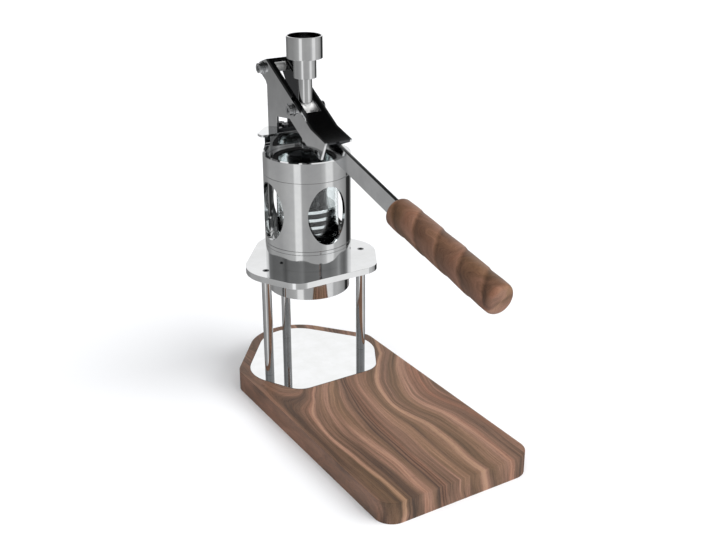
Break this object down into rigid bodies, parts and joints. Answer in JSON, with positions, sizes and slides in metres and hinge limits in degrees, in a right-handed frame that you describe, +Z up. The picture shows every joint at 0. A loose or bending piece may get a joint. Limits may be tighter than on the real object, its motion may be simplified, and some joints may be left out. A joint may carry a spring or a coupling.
{
  "type": "manual lever espresso maker",
  "caption": "Lever press for espresso: a long wood-handled lever drives a piston down a glass cylinder in a windowed steel shell, held by steel legs over a wooden board.",
  "frame": {"origin": "on the table plane under the axis of the brewing cylinder, at the wooden board's underside", "axes": "+Z up, -Y toward the person at the handle, +X to that person's right"},
  "size_m": [0.1646, 0.4018, 0.3744],
  "materials": {
    "walnut_board": "oiled satin walnut",
    "walnut_grip": "oiled satin walnut",
    "mirror_plate": "mirror polished stainless steel",
    "polished_steel": "polished stainless steel",
    "satin_steel": "satin stainless steel",
    "screw_steel": "darkened screw steel",
    "clear_glass": "clear borosilicate glass",
    "black_rubber": "matt black",
    "black_plastic": "matt black",
    "white_plastic": "white acetal"
  },
  "bodies": {
    "stand": {"board": "walnut_board", "base_plate": "mirror_plate", "leg_left": "polished_steel", "leg_right": "polished_steel", "leg_rear": "polished_steel", "lower_leg_screws": "screw_steel", "top_plate": "mirror_plate", "upper_leg_screws": "screw_steel", "group_collar": "polished_steel", "collar_screws": "screw_steel", "shower_screen": "satin_steel", "group_gasket": "black_rubber", "shell": "polished_steel", "glass_cylinder": "clear_glass", "glass_seals": "black_rubber", "crown_ring": "polished_steel", "cap_ring": "satin_steel", "crown_plate": "mirror_plate", "fulcrum_bracket": "satin_steel", "bracket_screws": "screw_steel", "fulcrum_pin": "satin_steel", "fulcrum_washers": "satin_steel", "fulcrum_nut": "satin_steel", "fulcrum_spacer": "white_plastic"},
    "lever": {"lever_channel": "mirror_plate", "lever_bar": "satin_steel", "handle_grip": "walnut_grip"},
    "piston_group": {"crosshead": "white_plastic", "crosshead_bolts": "satin_steel", "crosshead_washers": "satin_steel", "upper_rod": "polished_steel", "filling_cup": "polished_steel", "lower_rod": "polished_steel", "rod_sleeve": "black_plastic", "piston": "satin_steel", "piston_seals": "black_rubber", "valve_ball": "satin_steel", "ball_retainer": "satin_steel"},
    "filter_holder": {"holder_ring": "polished_steel", "filter_basket": "satin_steel"}
  },
  "joints": [
    {"name": "lever_pivot", "type": "hinge", "parent": "stand", "child": "lever", "pos_m": [0, 0.0635, 0.3328], "axis": [-1, 0, 0], "range_deg": [0, 40]},
    {"name": "piston_slide", "type": "slide", "parent": "stand", "child": "piston_group", "axis": [0, 0, 1], "range_m": [0, 0.0455]},
    {"name": "holder_twist", "type": "hinge", "parent": "stand", "child": "filter_holder", "pos_m": [0, 0, 0.1224], "axis": [0, 0, 1], "range_deg": [0, 50]}
  ],
  "couplings": [
    {"joint": "piston_slide", "follows": "lever_pivot", "m_per_rad": 0.0643}
  ]
}
